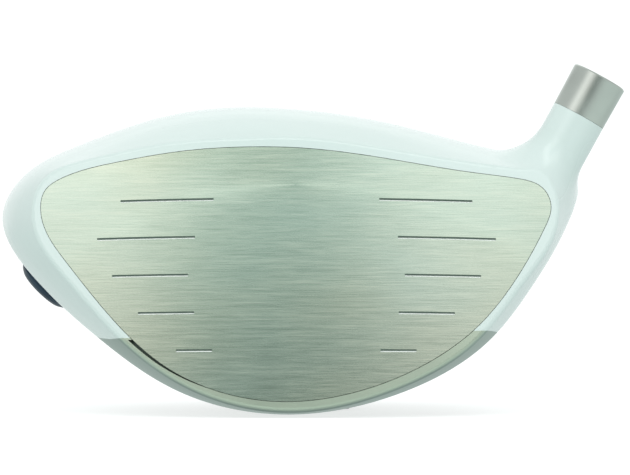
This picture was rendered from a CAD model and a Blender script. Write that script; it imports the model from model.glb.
"""Studio picture of the golf driver head: materials, lights, floor and camera."""
import math

import bpy
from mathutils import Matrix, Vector


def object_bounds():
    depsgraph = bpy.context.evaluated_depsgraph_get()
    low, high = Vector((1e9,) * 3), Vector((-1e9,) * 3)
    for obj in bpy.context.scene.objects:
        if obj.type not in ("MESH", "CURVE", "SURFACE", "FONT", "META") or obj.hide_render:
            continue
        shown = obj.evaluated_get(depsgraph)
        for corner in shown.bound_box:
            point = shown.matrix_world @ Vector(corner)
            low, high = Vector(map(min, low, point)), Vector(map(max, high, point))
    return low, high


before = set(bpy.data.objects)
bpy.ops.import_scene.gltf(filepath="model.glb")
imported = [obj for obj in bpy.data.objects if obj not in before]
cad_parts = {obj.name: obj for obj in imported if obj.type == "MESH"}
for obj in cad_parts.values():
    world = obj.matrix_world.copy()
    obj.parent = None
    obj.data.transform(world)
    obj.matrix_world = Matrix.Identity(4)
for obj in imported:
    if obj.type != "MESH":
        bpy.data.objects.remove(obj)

CAD_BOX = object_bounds()
LOW, HIGH = CAD_BOX
MIDDLE = (LOW + HIGH) / 2
MM = 0.001

# ---------------------------------------------------------------- camera values
FACE_CENTRE_X = -2.9 * MM
FACE_FRONT_Y = -46.5 * MM
CAMERA_BACK = 900 * MM           # from the face centre
CAMERA_SIDE = 4.18 * MM
CAMERA_HEIGHT = 40.4 * MM
CAMERA_LENS = 228.9
SENSOR_WIDTH = 36

# ---------------------------------------------------------------- surface values
# The face's bulge and roll, as the CAD model has them, for what lies below its surface.
FACE_RADIUS = 305 * MM
FACE_CENTRE = Vector((FACE_CENTRE_X, FACE_FRONT_Y, 33 * MM))
LOFT = math.radians(10.5)
BULGE_CENTRE = FACE_CENTRE + Vector((0, math.cos(LOFT), -math.sin(LOFT))) * FACE_RADIUS
# Where the paint ends: a nearly level plane, higher towards the face and the heel.
PAINT_LEAN = (-0.021, 0.05, 1)
PAINT_LINE = 16.35 * MM

# A band is a pair of values: where something starts, and where it is full.
PAINT_BAND = (PAINT_LINE - 0.02 * MM, PAINT_LINE + 0.02 * MM)
SEAM_BAND = (FACE_RADIUS - 0.3 * MM, FACE_RADIUS - 0.6 * MM)   # from the bulge's centre
LIP_BAND = (-0.75, -0.95)        # the Y of a surface's normal
SCORE_FRONT_BAND = (-0.2, -0.3)  # the same, for the score lines
SCORE_UP_BAND = (0.38, 0.42)     # the Z of a surface's normal
SCORE_DOWN_BAND = (-0.2, -0.25)
NOISE_BAND = (0.25, 0.75)        # the range that a noise mostly stays in

PAINT = (0.68, 0.79, 0.76)
PAINT_LOW = (0.665, 0.775, 0.745)
PAINT_HIGH = (0.70, 0.805, 0.78)
TITANIUM = (0.43, 0.50, 0.44)
BRUSHING = [
    (0.30, (0.37, 0.43, 0.37)), (0.50, (0.46, 0.52, 0.455)), (0.70, (0.57, 0.61, 0.53)),
]
BROAD_SHARE = 0.4                # of the broad streaks beside the fine ones
TITANIUM_TINT = [(0.35, (0.93, 0.99, 0.97)), (0.65, (1.0, 0.98, 0.91))]
SCORE_PAINT = (0.95, 1.0, 0.97)
SCORE_DARK = (0.13, 0.17, 0.145)
SEAM_DARK = (0.08, 0.105, 0.09)
SOLE = (0.34, 0.41, 0.37)
SOLE_LIP = (0.50, 0.58, 0.47)
WORN_DARK, WORN_BRIGHT = 0.88, 1.1     # shares of a satin metal's own colour
WORN_ROUGHNESS = 0.06                  # either side of its own
NAVY_BLUE = (0.01, 0.033, 0.06)
NAVY_LOW = (0.006, 0.022, 0.042)
NAVY_HIGH = (0.014, 0.043, 0.075)

# ---------------------------------------------------------------- light values
# The wall behind the camera, from left to right as the face mirrors it: position and colour.
FRONT_ACROSS = [
    (0.10, (1.00, 0.98, 0.98)), (0.17, (1.00, 0.98, 0.98)), (0.255, (0.74, 0.75, 0.72)),
    (0.337, (0.43, 0.48, 0.445)), (0.42, (0.33, 0.395, 0.38)), (0.50, (0.32, 0.39, 0.38)),
    (0.585, (0.43, 0.49, 0.48)), (0.67, (0.69, 0.73, 0.74)), (0.75, (0.86, 0.86, 0.87)),
    (0.83, (0.86, 0.86, 0.85)),
]
# And from its foot to its top: position and brightness.
FRONT_UP = [
    (0.0, 0.08), (0.19, 0.24), (0.29, 0.40), (0.40, 0.59),
    (0.49, 0.73), (0.58, 0.83), (0.75, 0.92),
]
FRONT_WIDTH_BAND = (-0.5, 0.5)   # the X of a direction
FRONT_HEIGHT_BAND = (0, 0.8)     # the Z of a direction
FRONT_STRENGTH = 2.75
# The room's other walls: brightness, and the band along the Y of a direction.
WALLS = [(0.78, (-0.80, -0.45)), (1.1, (0.7, 0.98))]
WALL_TINT = (0.97, 1, 1)
# Below the horizon, from straight down to level: what metal and paint see of the table.
BELOW = [(0.0, 0.62), (0.2, 0.74), (0.45, 0.92), (0.75, 1.0), (1.0, 0.95)]
BELOW_TINT = (0.9, 1, 0.98)
BELOW_BAND = (-1, 0)             # the Z of a direction
HORIZON_BAND = (-0.12, -0.01)
SHADOW = 0.85                    # share of that left behind the head
SHADOW_BAND = (0, 0.4)           # the Y of a direction

FLOOR_REACH = 12.0
FLOOR_COLOR = (0.40, 0.41, 0.41)
FLOOR_GLOW = 0.7
FLOOR_DROP = 0.05 * MM
AIM_HEIGHT = 30 * MM             # of the point that the lights face


# ---------------------------------------------------------------- node helpers
# The owner is the material or the world that the nodes belong to.
def new_material(name, color, metallic, roughness):
    """A material and its shader, with plain values for what no node feeds."""
    material = bpy.data.materials.new(name)
    material.use_nodes = True
    shader = material.node_tree.nodes["Principled BSDF"]
    shader.inputs["Base Color"].default_value = (*color, 1)
    shader.inputs["Metallic"].default_value = metallic
    shader.inputs["Roughness"].default_value = roughness
    return material, shader


def new_node(owner, kind):
    return owner.node_tree.nodes.new("ShaderNode" + kind)


def feed(owner, value, socket):
    """Puts another node's output, a number or a colour into a socket."""
    if hasattr(value, "links"):
        owner.node_tree.links.new(value, socket)
    elif isinstance(value, (int, float)):
        socket.default_value = value
    else:
        socket.default_value = (*value, 1)


def noise(material, cycles, detail):
    """Noise in the object's own metres. Cycles are per metre along X, Y and Z."""
    place = new_node(material, "TexCoord")
    mapping = new_node(material, "Mapping")
    mapping.inputs["Scale"].default_value = cycles
    feed(material, place.outputs["Object"], mapping.inputs["Vector"])
    node = new_node(material, "TexNoise")
    node.inputs["Scale"].default_value = 1
    node.inputs["Detail"].default_value = detail
    feed(material, mapping.outputs["Vector"], node.inputs["Vector"])
    return node.outputs["Fac"]


def even_noise(material, cycles, detail):
    """Noise with the same cycles per metre along X, Y and Z."""
    return noise(material, (cycles, cycles, cycles), detail)


def ramp(owner, value, stops):
    """A colour ramp from (position, colour) stops."""
    node = new_node(owner, "ValToRGB")
    feed(owner, value, node.inputs["Fac"])
    elements = node.color_ramp.elements
    elements[0].position = stops[0][0]
    elements[1].position = stops[-1][0]
    for position, color in stops[1:-1]:
        elements.new(position)
    for element, (position, color) in zip(elements, stops):
        element.color = (*color, 1)
    return node.outputs["Color"]


def tinted(tint, levels):
    """Turns (position, brightness) stops into (position, colour) stops."""
    return [(position, [level * share for share in tint]) for position, level in levels]


def mixed(owner, factor, first, second, blend="MIX"):
    """A colour mix: its factor is socket 0, its colours are 6 and 7, its result is output 2."""
    node = new_node(owner, "Mix")
    node.data_type = "RGBA"
    node.blend_type = blend
    feed(owner, factor, node.inputs[0])
    feed(owner, first, node.inputs[6])
    feed(owner, second, node.inputs[7])
    return node.outputs[2]


def scaled(owner, color, factor):
    node = new_node(owner, "VectorMath")
    node.operation = "SCALE"
    feed(owner, color, node.inputs["Vector"])
    feed(owner, factor, node.inputs["Scale"])
    return node.outputs["Vector"]


def combined(material, operation, first, second):
    """The product of two values, or another operation of the Math node on them."""
    node = new_node(material, "Math")
    node.operation = operation
    feed(material, first, node.inputs[0])
    feed(material, second, node.inputs[1])
    return node.outputs["Value"]


def map_range(owner, value, band, low=0, high=1, smooth=False):
    """Stretches a value from a band onto low to high."""
    node = new_node(owner, "MapRange")
    if smooth:
        node.interpolation_type = "SMOOTHSTEP"
    node.inputs["From Min"].default_value = band[0]
    node.inputs["From Max"].default_value = band[1]
    node.inputs["To Min"].default_value = low
    node.inputs["To Max"].default_value = high
    feed(owner, value, node.inputs["Value"])
    return node.outputs["Result"]


def by_mask(material, mask, off, on):
    """One value where a mask is 0 and another where it is 1."""
    return map_range(material, mask, (0, 1), off, on)


def bump(material, shader, value, strength, distance):
    node = new_node(material, "Bump")
    node.inputs["Strength"].default_value = strength
    node.inputs["Distance"].default_value = distance
    feed(material, value, node.inputs["Height"])
    feed(material, node.outputs["Normal"], shader.inputs["Normal"])


def facing(material):
    """How far the surface faces along X, Y and Z."""
    geometry = new_node(material, "NewGeometry")
    split = new_node(material, "SeparateXYZ")
    feed(material, geometry.outputs["True Normal"], split.inputs["Vector"])
    return split.outputs


def measured(material, operation, vector):
    """The distance, or the dot product, of a place in the object and a vector."""
    place = new_node(material, "TexCoord")
    node = new_node(material, "VectorMath")
    node.operation = operation
    node.inputs[1].default_value = vector
    feed(material, place.outputs["Object"], node.inputs[0])
    return node.outputs["Value"]


# ---------------------------------------------------------------- materials
def faces_front(material):
    """1 where the surface looks at the front, 0 where it has turned away."""
    return map_range(material, facing(material)["Y"], LIP_BAND)


def above_paint_line(material):
    """1 on the painted side of the masked line across the skirt, 0 on the bare side."""
    height = measured(material, "DOT_PRODUCT", PAINT_LEAN)
    return map_range(material, height, PAINT_BAND)


def white_paint():
    """Gloss paint. Below the masked line its metal shows."""
    material, shader = new_material("white_paint", PAINT, metallic=0, roughness=0.22)
    cloud = even_noise(material, cycles=14, detail=2)
    paint = ramp(material, cloud, [(0.3, PAINT_LOW), (0.7, PAINT_HIGH)])
    bare = mixed(material, faces_front(material), SOLE, SOLE_LIP)
    painted = above_paint_line(material)
    feed(material, mixed(material, painted, bare, paint), shader.inputs["Base Color"])
    feed(material, by_mask(material, painted, off=1, on=0), shader.inputs["Metallic"])
    gloss = map_range(material, cloud, NOISE_BAND, low=0.2, high=0.3)
    satin = by_mask(material, painted, off=0.4, on=0)
    roughness = combined(material, "MAXIMUM", gloss, satin)
    feed(material, roughness, shader.inputs["Roughness"])
    feed(material, by_mask(material, painted, off=0, on=0.35), shader.inputs["Coat Weight"])
    peel = even_noise(material, cycles=900, detail=2)
    bump(material, shader, peel, strength=0.02, distance=0.2 * MM)
    shader.inputs["Coat Roughness"].default_value = 0.06
    shader.inputs["Specular IOR Level"].default_value = 0.35
    return material


def brushed_face():
    """Metal brushed from heel to toe, with paint and shade in its score lines."""
    material, shader = new_material("brushed_titanium", TITANIUM, metallic=1, roughness=0.34)
    fine = noise(material, cycles=(160, 160, 6500), detail=2)
    broad = noise(material, cycles=(45, 45, 1500), detail=4)
    cloud = noise(material, cycles=(18, 18, 30), detail=2)
    streaks = mixed(material, BROAD_SHARE, fine, broad)
    color = ramp(material, streaks, BRUSHING)
    tint = ramp(material, cloud, TITANIUM_TINT)
    color = mixed(material, 1, color, tint, "MULTIPLY")
    # Score lines: pale paint on the flank that faces up, a dark flank above it.
    normal = facing(material)
    forward = map_range(material, normal["Y"], SCORE_FRONT_BAND)
    upward = map_range(material, normal["Z"], SCORE_UP_BAND)
    downward = map_range(material, normal["Z"], SCORE_DOWN_BAND)
    filled = combined(material, "MULTIPLY", upward, forward)
    shaded = combined(material, "MULTIPLY", downward, forward)
    color = mixed(material, filled, color, SCORE_PAINT)
    color = mixed(material, shaded, color, SCORE_DARK)
    feed(material, color, shader.inputs["Base Color"])
    feed(material, by_mask(material, filled, off=1, on=0), shader.inputs["Metallic"])
    roughness = map_range(material, streaks, NOISE_BAND, low=0.22, high=0.32)
    feed(material, roughness, shader.inputs["Roughness"])
    bump(material, shader, fine, strength=0.12, distance=0.1 * MM)
    shader.inputs["Anisotropic"].default_value = 0.7
    shader.inputs["Anisotropic Rotation"].default_value = 0.25
    tangent = new_node(material, "Tangent")
    tangent.direction_type = "RADIAL"
    tangent.axis = "Z"
    feed(material, tangent.outputs["Tangent"], shader.inputs["Tangent"])
    return material


def satin_metal(name, color, roughness, grain=1400, lip=None):
    """Fine blasted or turned metal with faint cloudy wear, and perhaps a brighter front lip."""
    material, shader = new_material(name, color, metallic=1, roughness=roughness)
    cloud = even_noise(material, cycles=60, detail=3)
    low = [level * WORN_DARK for level in color]
    high = [min(1, level * WORN_BRIGHT) for level in color]
    shade = ramp(material, cloud, [(0.3, low), (0.7, high)])
    if lip:
        forward = faces_front(material)
        shade = mixed(material, forward, shade, lip)
        depth = measured(material, "DISTANCE", BULGE_CENTRE)
        sunk = map_range(material, depth, SEAM_BAND)
        seam = combined(material, "MULTIPLY", sunk, forward)
        shade = mixed(material, seam, shade, SEAM_DARK)
    feed(material, shade, shader.inputs["Base Color"])
    smooth, rough = roughness - WORN_ROUGHNESS, roughness + WORN_ROUGHNESS
    feed(material, map_range(material, cloud, NOISE_BAND, smooth, rough), shader.inputs["Roughness"])
    speck = even_noise(material, cycles=grain, detail=2)
    bump(material, shader, speck, strength=0.06, distance=0.1 * MM)
    return material


def navy_ring():
    """Dark blue plastic with a fine texture."""
    material, shader = new_material("navy_ring", NAVY_BLUE, metallic=0, roughness=0.25)
    cloud = even_noise(material, cycles=120, detail=3)
    shade = ramp(material, cloud, [(0.3, NAVY_LOW), (0.7, NAVY_HIGH)])
    feed(material, shade, shader.inputs["Base Color"])
    roughness = map_range(material, cloud, NOISE_BAND, low=0.3, high=0.42)
    feed(material, roughness, shader.inputs["Roughness"])
    speck = even_noise(material, cycles=1800, detail=2)
    bump(material, shader, speck, strength=0.05, distance=0.1 * MM)
    shader.inputs["Specular IOR Level"].default_value = 0.3
    return material


SATIN_SOLE = satin_metal("satin_titanium", SOLE, roughness=0.4, lip=SOLE_LIP)
RAW_CAST = satin_metal("cast_titanium", (0.36, 0.38, 0.37), roughness=0.5, grain=900)
COLLAR = satin_metal("turned_aluminium", (0.50, 0.54, 0.50), roughness=0.3)
DARK_STEEL = satin_metal("dark_plated_steel", (0.10, 0.11, 0.13), roughness=0.3)
BRIGHT_STEEL = satin_metal("bright_steel", (0.52, 0.53, 0.55), roughness=0.25)
ANODISED = satin_metal("dark_anodised", (0.05, 0.06, 0.075), roughness=0.38)
PAINT_WHITE = white_paint()
BRUSHED = brushed_face()
NAVY = navy_ring()

FINISH = {
    "crown_shell": PAINT_WHITE,
    "skirt_shell": PAINT_WHITE,
    "sole_shell": SATIN_SOLE,
    "face_plate": BRUSHED,
    "hosel_liner": RAW_CAST,
    "loft_sleeve": COLLAR,
    "sleeve_bolt": DARK_STEEL,
    "bolt_washer": BRIGHT_STEEL,
    "adjuster_well": RAW_CAST,
    "adjuster_plate": ANODISED,
    "adjuster_screw": BRIGHT_STEEL,
    "sole_rib_1": RAW_CAST,
    "sole_rib_2": RAW_CAST,
    "sole_rib_3": RAW_CAST,
    "tail_weight": RAW_CAST,
}
for side in ("toe", "heel"):
    FINISH[side + "_port_cup"] = NAVY
    FINISH[side + "_weight"] = DARK_STEEL
    FINISH[side + "_weight_screw"] = BRIGHT_STEEL
    FINISH[side + "_weight_clip"] = BRIGHT_STEEL

for name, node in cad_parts.items():
    for slot in node.material_slots:
        slot.link = "OBJECT"
        slot.material = FINISH[name]


# ---------------------------------------------------------------- floor
def studio_floor():
    """A pale floor that only the camera sees, left out of reflections and bounced light."""
    corners = [(-1, -1), (1, -1), (1, 1), (-1, 1)]
    points = [(x * FLOOR_REACH, y * FLOOR_REACH, 0) for x, y in corners]
    mesh = bpy.data.meshes.new("studio_floor")
    mesh.from_pydata(points, [], [(0, 1, 2, 3)])
    material, shader = new_material("studio_white", FLOOR_COLOR, metallic=0, roughness=0.9)
    shader.inputs["Emission Color"].default_value = (1, 1, 1, 1)
    shader.inputs["Emission Strength"].default_value = FLOOR_GLOW
    mesh.materials.append(material)
    ground = bpy.data.objects.new("studio_floor", mesh)
    bpy.context.scene.collection.objects.link(ground)
    ground.location.z = LOW.z - FLOOR_DROP
    ground.visible_glossy = False
    ground.visible_diffuse = False
    return ground


floor = studio_floor()


# ---------------------------------------------------------------- light
def studio_world():
    """A white room. The wall behind the camera is dimmer in its middle and towards its foot."""
    world = bpy.data.worlds.new("studio")
    world.use_nodes = True
    direction = new_node(world, "TexCoord")
    parts = new_node(world, "SeparateXYZ")
    feed(world, direction.outputs["Generated"], parts.inputs["Vector"])
    x, y, z = parts.outputs

    across = ramp(world, map_range(world, x, FRONT_WIDTH_BAND), FRONT_ACROSS)
    white = (1, 1, 1)
    upward = ramp(world, map_range(world, z, FRONT_HEIGHT_BAND), tinted(white, FRONT_UP))
    front = mixed(world, 1, across, upward, "MULTIPLY")
    room = scaled(world, front, FRONT_STRENGTH)
    for brightness, band in WALLS:
        fade = map_range(world, y, band, smooth=True)
        room = mixed(world, fade, room, [brightness * share for share in WALL_TINT])

    table = ramp(world, map_range(world, z, BELOW_BAND), tinted(BELOW_TINT, BELOW))
    shadow = map_range(world, y, SHADOW_BAND, low=1, high=SHADOW)
    table = scaled(world, table, shadow)
    horizon = map_range(world, z, HORIZON_BAND)
    background = world.node_tree.nodes["Background"]
    feed(world, mixed(world, horizon, table, room), background.inputs["Color"])
    bpy.context.scene.world = world


def area_light(name, azimuth, distance, height, size, watts):
    """A soft box on a circle round the head. Azimuth 0 is behind the camera."""
    data = bpy.data.lights.new(name, "AREA")
    data.shape = "RECTANGLE"
    data.size, data.size_y = size
    data.energy = watts
    light = bpy.data.objects.new(name, data)
    bpy.context.scene.collection.objects.link(light)
    angle = math.radians(azimuth)
    outward = Vector((math.sin(angle), -math.cos(angle), 0))
    light.location = outward * distance + Vector((0, 0, height))
    aim = Vector((MIDDLE.x, MIDDLE.y, AIM_HEIGHT)) - light.location
    light.rotation_mode = "QUATERNION"
    light.rotation_quaternion = aim.to_track_quat("-Z", "Y")


studio_world()
area_light("top_box", 0, distance=0.8, height=1.3, size=(1.6, 0.5), watts=5)
area_light("back_box", 180, distance=1.2, height=1.2, size=(1.4, 1.0), watts=1)

# ---------------------------------------------------------------- camera
camera_data = bpy.data.cameras.new("camera")
camera_data.lens = CAMERA_LENS
camera_data.sensor_width = SENSOR_WIDTH
camera = bpy.data.objects.new("camera", camera_data)
bpy.context.scene.collection.objects.link(camera)
camera.location = (FACE_CENTRE_X + CAMERA_SIDE, FACE_FRONT_Y - CAMERA_BACK, CAMERA_HEIGHT)
camera.rotation_euler = (math.radians(90), 0, 0)
bpy.context.scene.camera = camera
bpy.context.scene.view_settings.view_transform = "Standard"
